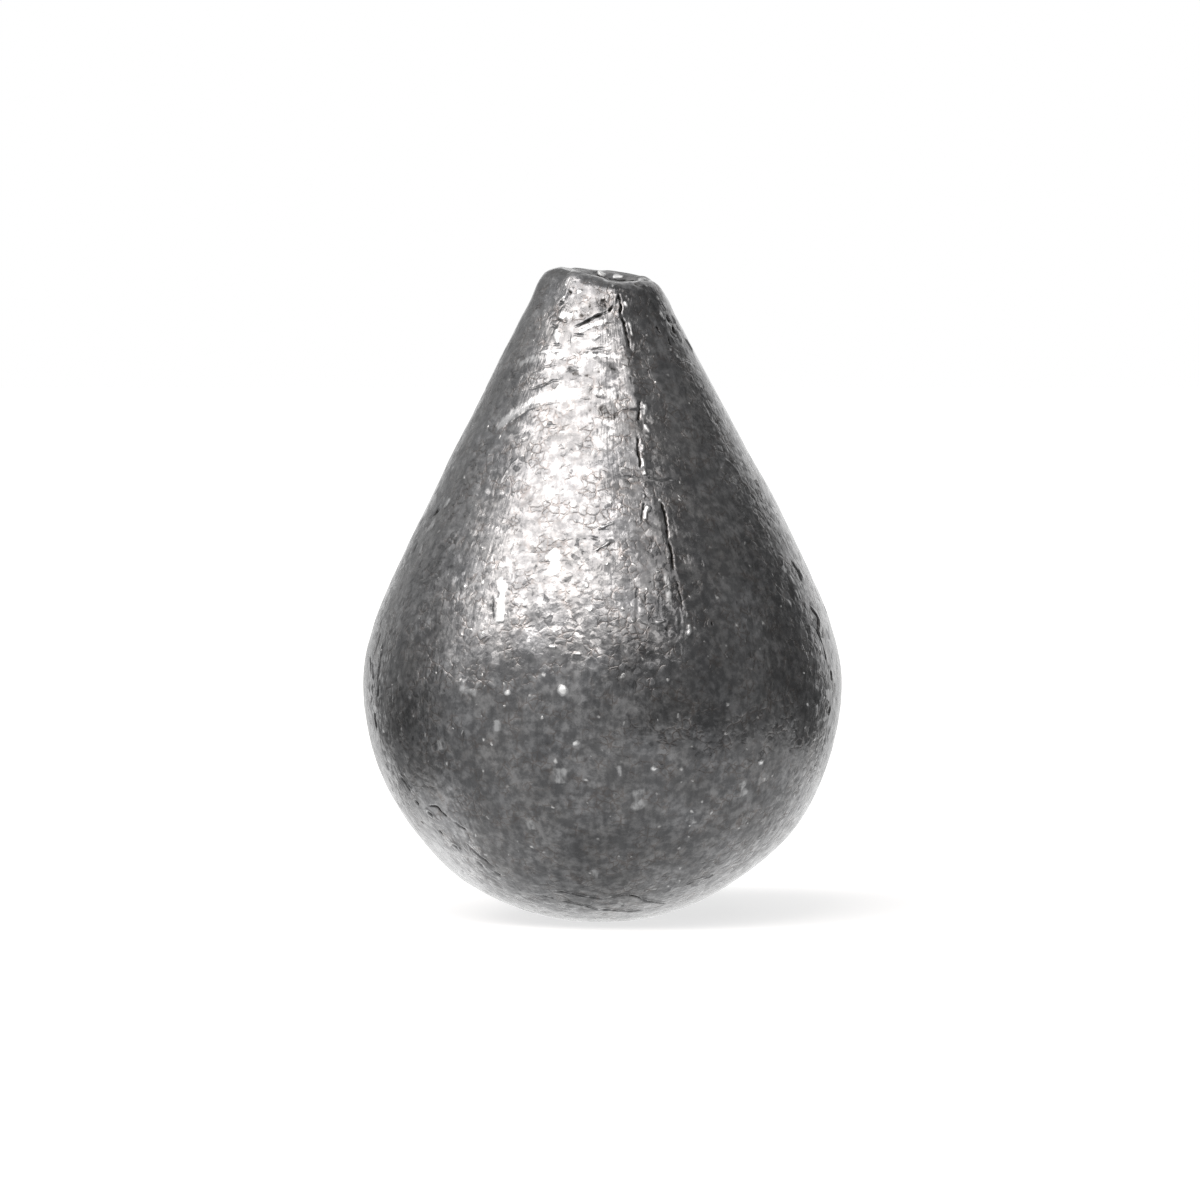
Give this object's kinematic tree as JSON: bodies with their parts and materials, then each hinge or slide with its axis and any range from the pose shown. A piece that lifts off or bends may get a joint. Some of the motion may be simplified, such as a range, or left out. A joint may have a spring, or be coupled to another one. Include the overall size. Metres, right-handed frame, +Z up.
{
  "type": "fishing sinker",
  "caption": "Pear-shaped slip sinker cast in lead, with a round lower end, a tapered nose cut off at a slant and a bore along its length that slides on the line.",
  "frame": {"origin": "centre of the flat foot at the round lower end", "axes": "+Z up along the body's axis, from the foot to the nose; +X to the side to which the nose's cut slopes down; -Y the side seen in the picture"},
  "size_m": [0.0144, 0.0144, 0.0196],
  "materials": {
    "cast_lead": "satin"
  },
  "bodies": {
    "root": {"lead_body": "cast_lead"}
  },
  "joints": []
}
